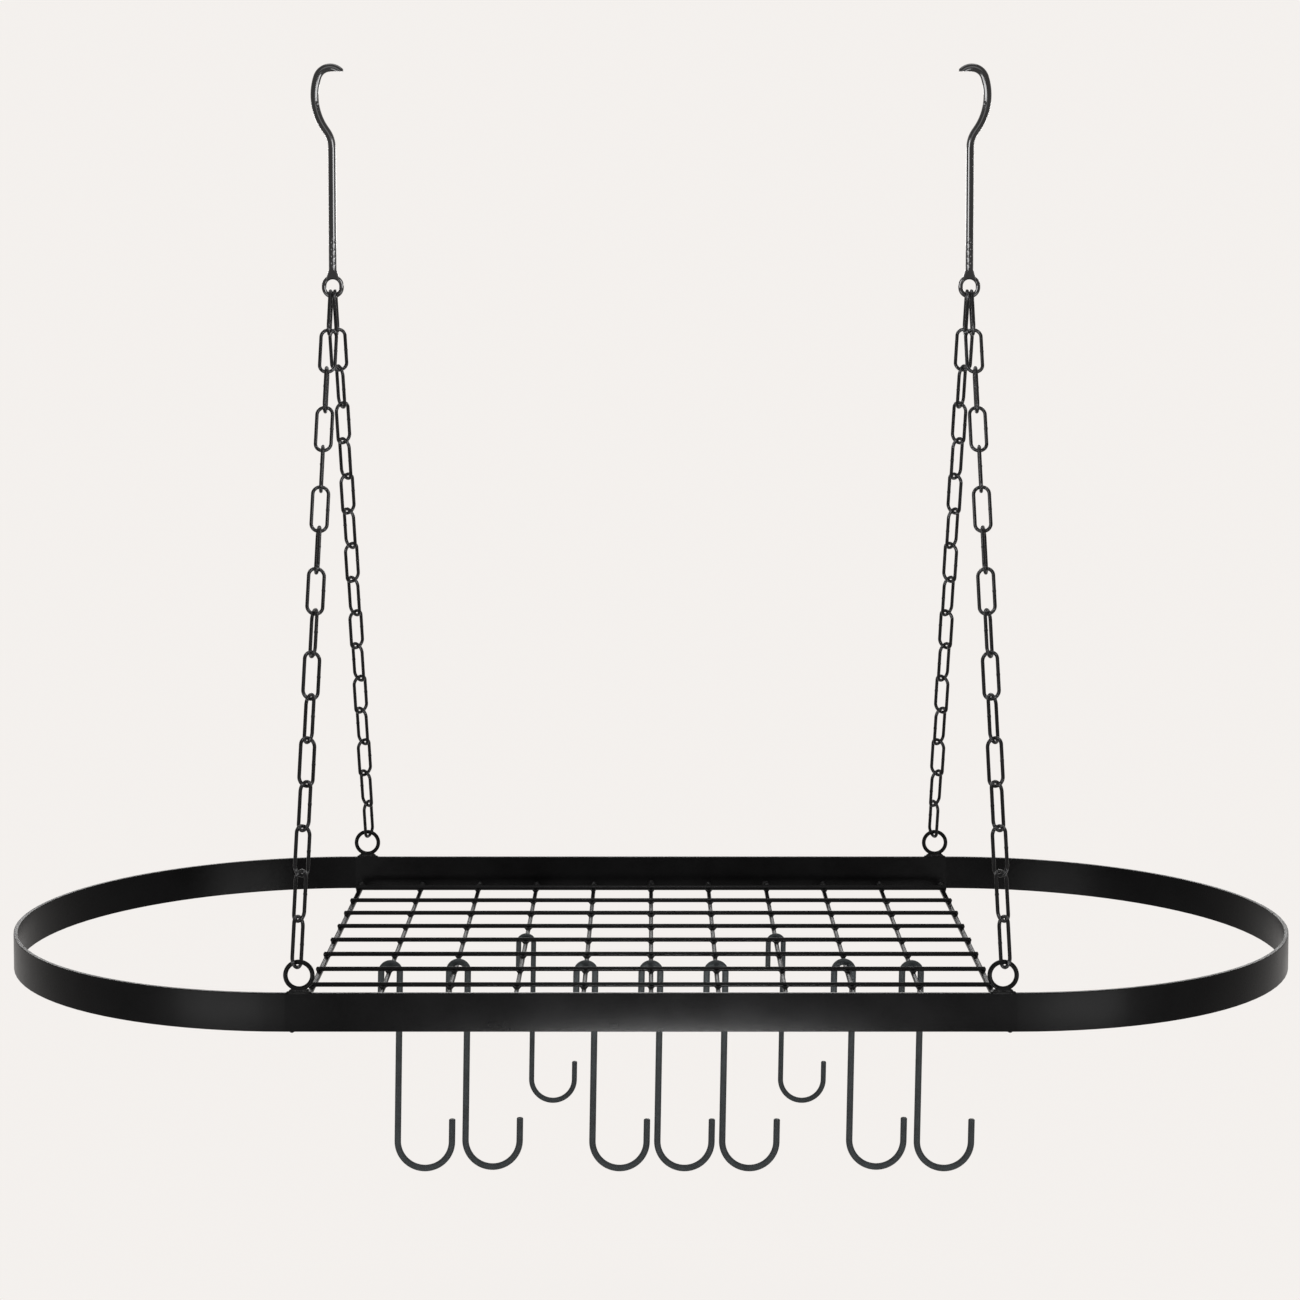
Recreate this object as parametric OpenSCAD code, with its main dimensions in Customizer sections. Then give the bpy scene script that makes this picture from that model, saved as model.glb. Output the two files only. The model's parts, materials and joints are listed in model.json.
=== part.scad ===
// Oval hanging pot rack: a flat steel band round a welded wire shelf, four chains that lift it from
// two ceiling hooks, and nine loose S hooks on the shelf's front-to-back wires.
// Millimetres. +X runs along the band, +Y to the back, +Z up. The origin lies midway between the
// ceiling hooks, at the height where their crooks bear on the ceiling fittings.

/* [Band] */
// Overall length of the oval band
band_length = 914.4; // [820:0.1:1000]
// Overall depth of the oval band, front to back
band_depth = 440; // [400:1:480]
// Height of the flat bar
band_height = 25.4; // [25:0.1:38]
// Thickness of the flat bar
band_thick = 3; // [2.6:0.1:4.5]
// Radius on the four long edges of the flat bar
band_edge = 0.5; // [0.2:0.1:0.9]

/* [Wire shelf] */
// Centre spacing of the wires that run front to back
cell_length = 46; // [42:0.1:46.5]
// From a side rail to the first wire that runs front to back
end_cell_length = 49; // [44:0.1:50]
// From the band's inner face to the centre of the front or back rail
rail_setback = 17.2; // [8:0.1:24]
// Diameter of the shelf wires
wire_d = 3.2; // [2.4:0.1:4]
// Diameter of the four rails round the shelf
rail_d = 4; // [3:0.1:4.5]
// From the band's top edge down to the top of the front-to-back wires
shelf_drop = 22.8; // [14:0.1:23]
// How far crossing wires are pressed into each other at a weld
weld_sink = 0.4; // [0.2:0.1:0.6]
// How far the left-to-right wires run past the centre of a side rail
wire_tail = 1.6; // [0.5:0.1:4]

/* [Hanging rings] */
// Distance between the left and right rings, and between the ceiling hooks
hanging_span = 456; // [400:1:470]
// Outer diameter of a ring
ring_outer_d = 20.5; // [19:0.1:26]
// Diameter of the ring's wire
ring_wire_d = 3; // [2.6:0.1:3.2]
// Gap under the ring that its weld fills
ring_lift = 1.2; // [0.8:0.1:2.5]
// Length of the weld under a ring
ring_weld_length = 16.8; // [12:0.1:18]
// Height of that weld, up the outside of the ring
ring_weld_height = 2.5; // [1.5:0.1:3]
// Width of the weld under a ring
ring_weld_width = 2; // [1.2:0.1:2]

/* [Chains] */
// Number of links in each chain
link_count = 16; // [12:2:20]
// Outer length of a link
link_length = 35.7; // [32:0.1:42]
// Outer width of a link
link_width = 13.4; // [13:0.1:16]
// Diameter of the chain wire
link_wire_d = 2.5; // [2:0.1:2.7]
// Turn that each front chain takes over its middle links, in degrees
front_turn = 45; // [42:1:50]
// Turn that each back chain takes over its upper links, in degrees
back_turn = 45; // [42:1:50]
// Further turn of each chain's last link, into its ring, in degrees
end_turn = 20; // [16:1:22]

/* [Ceiling hooks] */
// Diameter of the hook rod
rod_d = 5.5; // [4.5:0.1:6.5]
// From the crook's bearing face down to the centre of the eye's lower half
hook_drop = 153.8; // [120:0.1:240]
// Radius of the crook over the top, to the rod's centre
crook_r = 9.75; // [8.5:0.05:13]
// Radius of the hook's back, to the rod's centre
back_r = 42; // [34:0.5:50]
// Radius of the bend out of the shank, to the rod's centre
bend_r = 20; // [10:0.1:24]
// How far the hook leans out of the shank, in degrees
bend_angle = 36.5; // [30:0.5:42]
// How far round the hook's back goes before the crook tightens, in degrees
back_angle = 18; // [10:0.5:26]
// How far the crook closes over the top, in degrees
crook_angle = 160; // [120:1:175]
// How much thicker the hammered crook is than the rod, as a share of the rod
crook_swell = 0.085; // [0:0.005:0.15]
// How far the blunt tip reaches past the middle of the crook
tip_reach = 9.2; // [8:0.1:10]
// Outer width of the eye
eye_outer_d = 15.8; // [15.6:0.1:20]
// Diameter of the eye's wire
eye_wire_d = 3.3; // [2.4:0.1:3.4]
// How much higher than wide the eye is
eye_stretch = 1.1; // [0:0.1:2]

/* [Pot hooks] */
// Diameter of the large hooks' rod
large_rod_d = 4.6; // [4:0.1:5]
// Radius of the large hooks' upper loop, to the rod's centre
large_top_r = 6.6; // [6.6:0.1:8]
// Radius of the large hooks' lower crook, to the rod's centre
large_low_r = 19.2; // [14:0.1:19.6]
// Distance between the two loop centres of a large hook
large_span = 120.8; // [90:0.1:160]
// Straight end above a large hook's lower crook
large_tip = 16.4; // [6:0.1:30]
// Gap between a large hook and the cross wire in front of it
large_gap = 6.7; // [5:0.1:12]
// Diameter of the small hooks' rod
small_rod_d = 3.8; // [3:0.1:4]
// Radius of the small hooks' upper loop, to the rod's centre
small_top_r = 5.5; // [5.4:0.1:7]
// Radius of the small hooks' lower crook, to the rod's centre
small_low_r = 15.8; // [12:0.1:17]
// Distance between the two loop centres of a small hook
small_span = 101.4; // [80:0.1:130]
// Straight end above a small hook's lower crook
small_tip = 13.7; // [6:0.1:24]
// Gap between a small hook and the cross wire in front of it
small_gap = 4.3; // [4:0.1:10]
// Straight end below the free side of an upper loop
free_leg = 18; // [8:0.1:30]
// Chamfer round the cut ends of a pot hook
end_chamfer = 0.5; // [0.2:0.1:1]
// How far a hook's foot swings in under its wire, in degrees
hook_lean = 1; // [0:0.1:2]
// How far the hooks next to the outer ones sit off their wires, towards the middle
loop_shift = 2; // [0:0.1:2]

/* [Clearances] */
// Gap between a pot hook and its wire, and between two chain links
seat_gap = 0.3; // [0.2:0.05:0.4]
// Gap between the first links and the eye
eye_gap = 0.4; // [0.3:0.05:0.6]
// Gap between the last link and its ring
ring_gap = 0.6; // [0.5:0.05:0.8]
// Gap between the two first links that share an eye
pair_gap = 0.4; // [0.3:0.05:0.6]

/* [Hidden] */
$fn = 48;
depth_wires = 9;
cross_wires = 8;
small_hooks = [3, 7];
shifted_hooks = [2, 8];
large_hook_row = 3;
small_hook_row = 5;
untwisted_links = 4;
front_turn_links = 9;
back_turn_links = 3;
corner_names = ["front_left", "front_right", "back_left", "back_right"];

function is_small(i) = len(search(i, small_hooks)) > 0;
function is_shifted(i) = len(search(i, shifted_hooks)) > 0;

// Band: centreline of the flat bar, and its inner face at any place along X
straight_half = (band_length - band_depth) / 2;
band_mid_r = (band_depth - band_thick) / 2;
band_inner_r = band_depth / 2 - band_thick;
function oval_half(x, r) =
    abs(x) <= straight_half ? r : sqrt(r * r - pow(abs(x) - straight_half, 2));

// Hanging rings and eyes: wire centrelines
ring_r = (ring_outer_d - ring_wire_d) / 2;
eye_r = (eye_outer_d - eye_wire_d) / 2;
hang_x = hanging_span / 2;
ring_y = oval_half(hang_x, band_mid_r);

// Chains: each lies in its own upright plane, beside the other chain of the same eye
link_end_r = (link_width - link_wire_d) / 2;
link_mid = link_length - link_wire_d;
link_pitch = link_mid - link_wire_d - seat_gap;
pair_offset = (link_wire_d + pair_gap) / 2;
eye_reach = (eye_wire_d + link_wire_d) / 2 + eye_gap;
ring_reach = (ring_wire_d + link_wire_d) / 2 + ring_gap;
chain_reach = link_count * link_pitch + link_wire_d + seat_gap - eye_reach - ring_reach;
chain_drop = sqrt(chain_reach * chain_reach - ring_y * ring_y);
chain_slant = asin(ring_y / chain_reach);

// Heights, worked down from the bearing face of the ceiling hooks
eye_z = -hook_drop;
eye_top_z = eye_z + eye_stretch;
swing_z = eye_z - sqrt(eye_r * eye_r - pair_offset * pair_offset);
ring_wire_z = swing_z - chain_drop;
ring_z = ring_wire_z - sqrt(ring_r * ring_r - pair_offset * pair_offset);
band_top_z = ring_z - ring_outer_d / 2 - ring_lift;
wire_top_z = band_top_z - shelf_drop;
depth_wire_z = wire_top_z - wire_d / 2;
side_rail_z = wire_top_z - rail_d / 2;
cross_wire_z = wire_top_z + wire_d / 2 - weld_sink;
end_rail_z = wire_top_z + rail_d / 2 - weld_sink;

// Shelf: places of the wires
side_rail_x = cell_length * (depth_wires - 1) / 2 + end_cell_length;
end_rail_y = band_inner_r - rail_setback;
cell_depth = 2 * end_rail_y / (cross_wires + 1);
function wire_x(i) = (i - (depth_wires + 1) / 2) * cell_length;
function wire_y(j) = -end_rail_y + j * cell_depth;

// Ceiling hooks: centres of the three arcs of the left hook, with its shank on the Z axis
lean_x = -(bend_r + back_r) * (1 - cos(bend_angle));
back_x = lean_x + back_r;
top_z = rod_d / 2 - crook_r;
back_z = top_z - (back_r - crook_r) * sin(back_angle);
bend_z = back_z - (bend_r + back_r) * sin(bend_angle);
crook_x = back_x - (back_r - crook_r) * cos(back_angle);
bend_steps = 8;
back_steps = 16;
crook_steps = 20;
neck_share = 0.985;
neck_lap = 1;
neck_z = eye_r + rod_d;
shoulder_angle = 30;

// Pot hooks: how far the loop centre lies from the wire, and where each hook hangs
large_y = wire_y(large_hook_row) + (wire_d + large_rod_d) / 2 + large_gap;
small_y = wire_y(small_hook_row) + (wire_d + small_rod_d) / 2 + small_gap;
function hook_y(i) = is_small(i) ? small_y : large_y;
function loop_shift_of(i) = is_shifted(i) ? -sign(wire_x(i)) * loop_shift : 0;
function loop_depth(rod, top_r, shift) =
    sqrt(pow(top_r - (rod + wire_d) / 2 - seat_gap, 2) - shift * shift);

black = [0.07, 0.07, 0.075];
gloss_black = [0.04, 0.04, 0.045];
charcoal = [0.16, 0.19, 0.2];

// ---- shared shapes -------------------------------------------------------------------------

// Part of a round rod bent in the XZ plane, from one angle to another round its own centre
module bent_rod(rod, r, from, to) {
    rotate([90, 0, 0])
        rotate([0, 0, from])
            rotate_extrude(angle = to - from, $fn = 96)
                translate([r, 0])
                    circle(d = rod);
}

// Straight round rod that goes up from the origin
module rod_up(rod, length) {
    cylinder(d = rod, h = length);
}

// Straight round rod that goes up from the origin to a chamfered end
module rod_end(rod, length) {
    rod_up(rod, length - end_chamfer);
    translate([0, 0, length - end_chamfer])
        cylinder(d1 = rod, d2 = rod - 2 * end_chamfer, h = end_chamfer);
}

// Straight round rod along X or Y, centred
module rod_x(rod, length) {
    rotate([0, 90, 0])
        cylinder(d = rod, h = length, center = true);
}

module rod_y(rod, length) {
    rotate([90, 0, 0])
        cylinder(d = rod, h = length, center = true);
}

// Turns a shape that is drawn for the front left corner into any corner's
function is_right(corner) = corner == "front_right" || corner == "back_right";
function is_back(corner) = corner == "back_left" || corner == "back_right";

module at_corner(corner) {
    mirror([is_right(corner) ? 1 : 0, 0, 0])
        mirror([0, is_back(corner) ? 1 : 0, 0])
            children();
}

// ---- band ----------------------------------------------------------------------------------

// Cross-section of the flat bar, with its top edge at zero
module bar_section() {
    inset_x = band_thick / 2 - band_edge;
    translate([-inset_x, -band_height])
        square([2 * inset_x, band_height]);
    translate([-band_thick / 2, -band_height + band_edge])
        square([band_thick, band_height - 2 * band_edge]);
    for (x = [-inset_x, inset_x], z = [-band_edge, band_edge - band_height])
        translate([x, z])
            circle(r = band_edge, $fn = 24);
}

module oval_band() {
    color(black)
        translate([0, 0, band_top_z]) {
            for (side = [-1, 1]) {
                translate([-straight_half, side * band_mid_r, 0])
                    rotate([90, 0, 90])
                        linear_extrude(2 * straight_half)
                            bar_section();
                translate([side * straight_half, 0, 0])
                    rotate([0, 0, -90 * side])
                        rotate_extrude(angle = 180, $fn = 180)
                            translate([band_mid_r, 0])
                                bar_section();
            }
        }
}

// ---- wire shelf ----------------------------------------------------------------------------

// A rail that runs front to back and is welded to the band at both ends
module side_rail(side) {
    color(black)
        translate([side * side_rail_x, 0, side_rail_z])
            rod_y(rail_d, 2 * oval_half(side_rail_x + rail_d / 2, band_inner_r));
}

module left_rail() {
    side_rail(-1);
}

module right_rail() {
    side_rail(1);
}

// A rail that runs left to right on top of the side rails
module end_rail(side) {
    color(black)
        translate([0, side * end_rail_y, end_rail_z])
            rod_x(rail_d, 2 * side_rail_x + rail_d);
}

module front_rail() {
    end_rail(-1);
}

module back_rail() {
    end_rail(1);
}

// Wire number i from the left, welded to the band at both ends
module depth_wire(i) {
    color(black)
        translate([wire_x(i), 0, depth_wire_z])
            rod_y(wire_d, 2 * oval_half(abs(wire_x(i)) + wire_d / 2, band_inner_r));
}

// Wire number j from the front, welded on top of the front-to-back wires and the side rails
module cross_wire(j) {
    color(black)
        translate([0, wire_y(j), cross_wire_z])
            rod_x(wire_d, 2 * (side_rail_x + wire_tail));
}

// ---- hanging rings -------------------------------------------------------------------------

// Weld metal that fills the gap between a ring and the band's top edge, and the wedges beside it up
// to where its crest meets the outside of the ring
module ring_weld() {
    half = ring_weld_length / 2;
    outer_r = ring_outer_d / 2;
    crest = sqrt(outer_r * outer_r - pow(outer_r + ring_lift - ring_weld_height, 2));
    toe = (half + crest) / 2;
    toe_z = ring_weld_height / 3;
    translate([0, ring_weld_width / 2, 0])
        rotate([90, 0, 0])
            linear_extrude(ring_weld_width)
                polygon([
                    [-half, 0], [half, 0], [toe, toe_z],
                    [crest, ring_weld_height], [-crest, ring_weld_height], [-toe, toe_z]
                ]);
}

module hanging_ring(corner) {
    color(black)
        at_corner(corner)
            translate([-hang_x, -ring_y, 0]) {
                translate([0, 0, ring_z])
                    rotate([90, 0, 0])
                        rotate_extrude($fn = 96)
                            translate([ring_r, 0])
                                circle(d = ring_wire_d, $fn = 32);
                translate([0, 0, band_top_z])
                    ring_weld();
            }
}

// ---- chains --------------------------------------------------------------------------------

// One oval link in the YZ plane, long way up, centred
module link() {
    half = link_mid / 2 - link_end_r;
    for (end = [-1, 1])
        translate([0, 0, end * half])
            rotate([0, 0, 90])
                rotate([90, 0, 0])
                    rotate([0, 0, end > 0 ? 0 : 180])
                        rotate_extrude(angle = 180, $fn = 48)
                            translate([link_end_r, 0])
                                circle(d = link_wire_d, $fn = 24);
    for (side = [-1, 1])
        translate([0, side * link_end_r, -half])
            cylinder(d = link_wire_d, h = 2 * half, $fn = 24);
}

// Twist of the chain at link k, on top of the quarter turn from link to link
function last_twist(k) = k == link_count ? end_turn : 0;
function front_twist(k) =
    front_turn * min(1, max(0, k - untwisted_links) / front_turn_links) + last_twist(k);
function back_twist(k) = -back_turn * min(1, (k - 1) / back_turn_links) - last_twist(k);

// Links first to last of one chain, counted down from the eye
module links(corner, first, last) {
    color(black)
        at_corner(corner)
            translate([-hang_x - (is_back(corner) ? -1 : 1) * pair_offset, 0, swing_z])
                rotate([-chain_slant, 0, 0])
                    for (k = [first : last])
                        translate([0, 0, eye_reach - link_mid / 2 - (k - 1) * link_pitch])
                            rotate([0, 0, 90 * (k - 1) + (is_back(corner) ? back_twist(k) : front_twist(k))])
                                link();
}

module top_link(corner) {
    links(corner, 1, 1);
}

module chain(corner) {
    links(corner, 2, link_count);
}

// ---- ceiling hooks -------------------------------------------------------------------------

// One point of the centreline: [x, z, direction across the rod in its plane]
function on_arc(x, z, r, angle, across) = [x + r * cos(angle), z + r * sin(angle), across];
function turned(from, to, steps) = [for (k = [1 : steps]) from + (to - from) * k / steps];

// Centreline of the left hook above its shank: it leaves the shank, leans out, goes round the back
// and closes over the top
hook_path = concat(
    [[0, bend_z - rod_d / 2, 0], [0, bend_z, 0]],
    [for (t = turned(0, bend_angle, bend_steps)) on_arc(-bend_r, bend_z, bend_r, t, t)],
    [for (t = turned(bend_angle, -back_angle, back_steps)) on_arc(back_x, back_z, back_r, 180 + t, t)],
    [for (t = turned(-back_angle, -crook_angle, crook_steps)) on_arc(crook_x, top_z, crook_r, 180 + t, t)]
);

// Cross-section of the rod at point k of the path: as wide as neck_share of the rod where it starts
// inside the shank, and hammered deeper and narrower from the bend to the end of the back
function hammered(k) = min(1, max(0, k - bend_steps) / back_steps);
function rod_ring(k, sides) = [
    for (u = [0 : sides - 1])
        let (
            p = hook_path[k],
            deep = rod_d / 2 * neck_share * (1 + crook_swell * hammered(k)),
            wide = rod_d / 2 * neck_share / (1 + crook_swell * hammered(k))
        )
        [
            p[0] + deep * cos(360 * u / sides) * cos(p[2]),
            wide * sin(360 * u / sides),
            p[1] + deep * cos(360 * u / sides) * sin(p[2])
        ]
];

// The bent rod above the shank, swept along its path, with the crook's underside flat and its tip cut
module hook_crook(sides = 24) {
    rings = len(hook_path);
    points = [for (k = [0 : rings - 1]) each rod_ring(k, sides)];
    walls = [
        for (k = [0 : rings - 2], u = [0 : sides - 1])
            let (here = k * sides, next = here + sides, v = (u + 1) % sides)
            each [[here + u, next + u, next + v], [here + u, next + v, here + v]]
    ];
    start = [for (u = [0 : sides - 1]) u];
    end = [for (u = [sides - 1 : -1 : 0]) (rings - 1) * sides + u];
    difference() {
        polyhedron(points, concat([start], walls, [end]), convexity = 6);
        translate([crook_x, -rod_d, -3 * crook_r])
            cube([3 * crook_r, 2 * rod_d, 3 * crook_r]);
        translate([crook_x + tip_reach, -rod_d, -crook_r])
            cube([crook_r, 2 * rod_d, 3 * crook_r]);
    }
}

// The left hook, drawn with its shank on the Z axis and its crook open to the right. The shank laps
// a little into the shoulder.
module hook_shape() {
    hook_crook();
    translate([0, 0, eye_top_z + neck_z - neck_lap])
        rod_up(rod_d, bend_z - eye_top_z - neck_z + neck_lap);
    translate([0, 0, eye_z])
        eye();
    translate([0, 0, eye_top_z])
        eye_shoulder();
}

// The eye: two half rings with short straight sides between them
module eye() {
    for (end = [0, 1])
        translate([0, 0, end * eye_stretch])
            rotate([90, 0, 0])
                rotate([0, 0, end > 0 ? 0 : 180])
                    rotate_extrude(angle = 180, $fn = 96)
                        translate([eye_r, 0])
                            circle(d = eye_wire_d, $fn = 32);
    for (side = [-1, 1])
        translate([side * eye_r, 0, 0])
            cylinder(d = eye_wire_d, h = eye_stretch, $fn = 32);
}

// The forged shoulder between the shank and the eye, above the eye's opening. It starts where its
// flanks meet the eye's outline.
module eye_shoulder() {
    foot_z = eye_outer_d / 2 * sin(shoulder_angle);
    foot_x = eye_outer_d / 2 * cos(shoulder_angle) - eye_wire_d / 2;
    difference() {
        intersection() {
            translate([0, 0, foot_z])
                cylinder(r1 = foot_x, d2 = rod_d, h = neck_z - foot_z);
            translate([-eye_outer_d, -rod_d / 2, 0])
                cube([2 * eye_outer_d, rod_d, 2 * neck_z]);
        }
        rotate([90, 0, 0])
            cylinder(r = eye_r - eye_wire_d / 4, h = 2 * rod_d, center = true);
    }
}

module ceiling_hook_left() {
    color(gloss_black)
        translate([-hang_x, 0, 0])
            hook_shape();
}

module ceiling_hook_right() {
    color(gloss_black)
        mirror([1, 0, 0])
            translate([-hang_x, 0, 0])
                hook_shape();
}

// ---- pot hooks -----------------------------------------------------------------------------

// An S hook in the XZ plane, drawn round the wire that carries it
module s_hook(rod, top_r, low_r, span, tip, shift) {
    rotate([0, hook_lean, 0])
        translate([shift, 0, -loop_depth(rod, top_r, shift)]) {
            bent_rod(rod, top_r, 0, 180);
            translate([-top_r, 0, 0])
                mirror([0, 0, 1])
                    rod_end(rod, free_leg);
            translate([top_r, 0, -span])
                rod_up(rod, span);
            translate([top_r + low_r, 0, -span])
                bent_rod(rod, low_r, 180, 360);
            translate([top_r + 2 * low_r, 0, -span])
                rod_end(rod, tip);
        }
}

module pot_hook(i) {
    color(charcoal)
        translate([wire_x(i), hook_y(i), depth_wire_z])
            if (is_small(i))
                s_hook(small_rod_d, small_top_r, small_low_r, small_span, small_tip, loop_shift_of(i));
            else
                s_hook(large_rod_d, large_top_r, large_low_r, large_span, large_tip, loop_shift_of(i));
}

// ---- the parts -----------------------------------------------------------------------------

ceiling_hook_left();
ceiling_hook_right();
for (c = corner_names) {
    top_link(c);
    chain(c);
    hanging_ring(c);
}
oval_band();
left_rail();
right_rail();
front_rail();
back_rail();
for (i = [1 : depth_wires]) {
    depth_wire(i);
    pot_hook(i);
}
for (j = [1 : cross_wires]) {
    cross_wire(j);
}
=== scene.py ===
"""Finishes, welds and stage for an oval hanging pot rack.

The rack is a flat steel band round a welded wire shelf. Four chains lift it from two ceiling
hooks, and nine loose S hooks hang on the shelf. Everything is in metres, in the frame of the
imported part.
"""

import functools
import json
import math
import random

import bmesh
import bpy
import numpy as np
from bpy.props import FloatProperty, FloatVectorProperty, IntProperty, PointerProperty
from mathutils import Matrix, Vector, noise


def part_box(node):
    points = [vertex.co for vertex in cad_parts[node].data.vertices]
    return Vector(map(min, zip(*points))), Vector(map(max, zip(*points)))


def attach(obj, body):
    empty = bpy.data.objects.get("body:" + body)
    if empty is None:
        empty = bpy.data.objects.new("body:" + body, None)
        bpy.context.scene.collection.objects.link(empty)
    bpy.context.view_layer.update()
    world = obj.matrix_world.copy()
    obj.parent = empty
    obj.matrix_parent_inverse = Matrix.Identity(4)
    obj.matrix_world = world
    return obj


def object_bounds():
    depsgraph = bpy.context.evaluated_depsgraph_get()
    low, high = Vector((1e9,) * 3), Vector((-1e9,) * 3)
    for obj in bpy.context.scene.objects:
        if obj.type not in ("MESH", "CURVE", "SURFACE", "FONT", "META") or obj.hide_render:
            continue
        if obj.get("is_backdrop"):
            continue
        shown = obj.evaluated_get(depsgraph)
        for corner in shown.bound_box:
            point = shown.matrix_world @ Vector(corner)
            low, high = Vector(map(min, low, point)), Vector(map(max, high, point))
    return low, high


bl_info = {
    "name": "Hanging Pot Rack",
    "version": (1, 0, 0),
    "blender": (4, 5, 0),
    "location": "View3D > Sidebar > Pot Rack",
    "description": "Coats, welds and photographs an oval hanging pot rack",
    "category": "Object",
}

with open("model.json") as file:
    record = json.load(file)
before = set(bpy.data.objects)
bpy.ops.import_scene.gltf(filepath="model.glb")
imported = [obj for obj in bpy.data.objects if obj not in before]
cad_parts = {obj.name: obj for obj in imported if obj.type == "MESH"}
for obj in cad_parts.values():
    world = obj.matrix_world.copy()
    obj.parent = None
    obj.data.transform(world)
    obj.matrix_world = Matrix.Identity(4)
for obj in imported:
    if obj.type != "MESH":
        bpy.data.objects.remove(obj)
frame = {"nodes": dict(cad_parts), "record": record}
cad_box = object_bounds()

MM = 0.001
NODES = frame["nodes"]
BODIES = frame["record"]["behaviour"]["bodies"]
CORNERS = ("front_left", "front_right", "back_left", "back_right")
DEPTH_WIRES = sorted(n for n in NODES if n.startswith("depth_wire_"))
CROSS_WIRES = sorted(n for n in NODES if n.startswith("cross_wire_"))
SIDE_RAILS = ("left_rail", "right_rail")
END_RAILS = ("front_rail", "back_rail")
CEILING_HOOKS = ("ceiling_hook_left", "ceiling_hook_right")
POT_HOOKS = sorted(n for n in NODES if n.startswith("pot_hook_"))
BAND_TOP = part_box("oval_band")[1].z


# ---- sizes and colours that a user would change ------------------------------------------------


class PotRackFinish(bpy.types.PropertyGroup):
    """Colours and surface of the four finishes."""

    satin_black: FloatVectorProperty(
        name="Satin black", description="Powder coat of the band, the shelf and the rings",
        subtype="COLOR", size=3, min=0, max=1, default=(0.0016, 0.0016, 0.0017))
    chain_black: FloatVectorProperty(
        name="Chain black", description="Lacquer of the chains",
        subtype="COLOR", size=3, min=0, max=1, default=(0.0022, 0.0022, 0.0024))
    gloss_black: FloatVectorProperty(
        name="Gloss black", description="Enamel of the two ceiling hooks",
        subtype="COLOR", size=3, min=0, max=1, default=(0.0025, 0.0025, 0.0028))
    charcoal: FloatVectorProperty(
        name="Charcoal", description="Dull paint of the pot hooks",
        subtype="COLOR", size=3, min=0, max=1, default=(0.0190, 0.0218, 0.0231))
    # Steel of chipped edges, and also the colour of the painted highlight flecks at the chain
    # joints
    bare_steel_and_glint: FloatVectorProperty(
        name="Bare steel", description="Steel that shows where the coat has rubbed thin",
        subtype="COLOR", size=3, min=0, max=1, default=(0.16, 0.16, 0.165))
    peel_size: FloatProperty(
        name="Orange peel", description="Width of one ripple of the powder coat",
        subtype="DISTANCE", unit="LENGTH", min=0.0002, default=1.6 * MM)
    crown: FloatProperty(
        name="Band crown", description="How far the band's outer face seems to bulge",
        subtype="DISTANCE", unit="LENGTH", min=0, default=0.45 * MM)
    grain_size: FloatProperty(
        name="Coat grain", description="Width of one grain of the satin texture",
        subtype="DISTANCE", unit="LENGTH", min=0.0001, default=0.35 * MM)
    bead_drop: FloatProperty(
        name="Enamel bead drop", description="From a ceiling hook's top down to its bead",
        subtype="DISTANCE", unit="LENGTH", min=0.01, default=28.6 * MM)
    bead_inset: FloatProperty(
        name="Enamel bead inset", description="From the outside of the hook in to the bead",
        subtype="DISTANCE", unit="LENGTH", min=0, default=4.9 * MM)
    bead_sink: FloatProperty(
        name="Enamel bead sink", description="How far the bead's middle lies in the rod's front",
        subtype="DISTANCE", unit="LENGTH", min=0, default=0.7 * MM)
    bead_seed: IntProperty(name="Enamel seed", description="Seed of the beads' shapes", default=3)


class PotRackWelds(bpy.types.PropertyGroup):
    """Sizes of the welds."""

    saddle_reach: FloatProperty(
        name="Saddle reach", description="How far a shelf weld runs out along its wires",
        subtype="DISTANCE", unit="LENGTH", min=0.003, default=5.8 * MM)
    end_lip: FloatProperty(
        name="End lip", description="How far a shelf weld laps over the cut end of a wire",
        subtype="DISTANCE", unit="LENGTH", min=0, default=0.1 * MM)
    saddle_curve: FloatProperty(
        name="Saddle curve", description="Fullness of a shelf weld's corners: lower is hollower",
        min=0.5, max=1, default=0.76)
    saddle_depth: FloatProperty(
        name="Saddle depth", description="Half the height of a shelf weld between its two wires",
        subtype="DISTANCE", unit="LENGTH", min=0.0005, default=1.25 * MM)
    bead_radius: FloatProperty(
        name="Band bead", description="Radius of the weld where a wire meets the band",
        subtype="DISTANCE", unit="LENGTH", min=0.001, default=2.9 * MM)
    ring_bead: FloatProperty(
        name="Ring bead", description="Half the length of one ripple of the weld under a ring",
        subtype="DISTANCE", unit="LENGTH", min=0.0005, default=1.7 * MM)
    ring_bead_length: FloatProperty(
        name="Ring bead length", description="From the first ripple under a ring to the last",
        subtype="DISTANCE", unit="LENGTH", min=0.005, default=13.2 * MM)
    ring_bead_height: FloatProperty(
        name="Ring bead height", description="How far the weld under a ring climbs beside it",
        subtype="DISTANCE", unit="LENGTH", min=0.001, default=3.4 * MM)
    seam_swell: FloatProperty(
        name="Link seam", description="How far a link's butt weld stands proud of its wire",
        subtype="DISTANCE", unit="LENGTH", min=0, default=0.16 * MM)
    seed: IntProperty(name="Seed", description="Seed of the welds' small differences", default=7)


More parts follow.
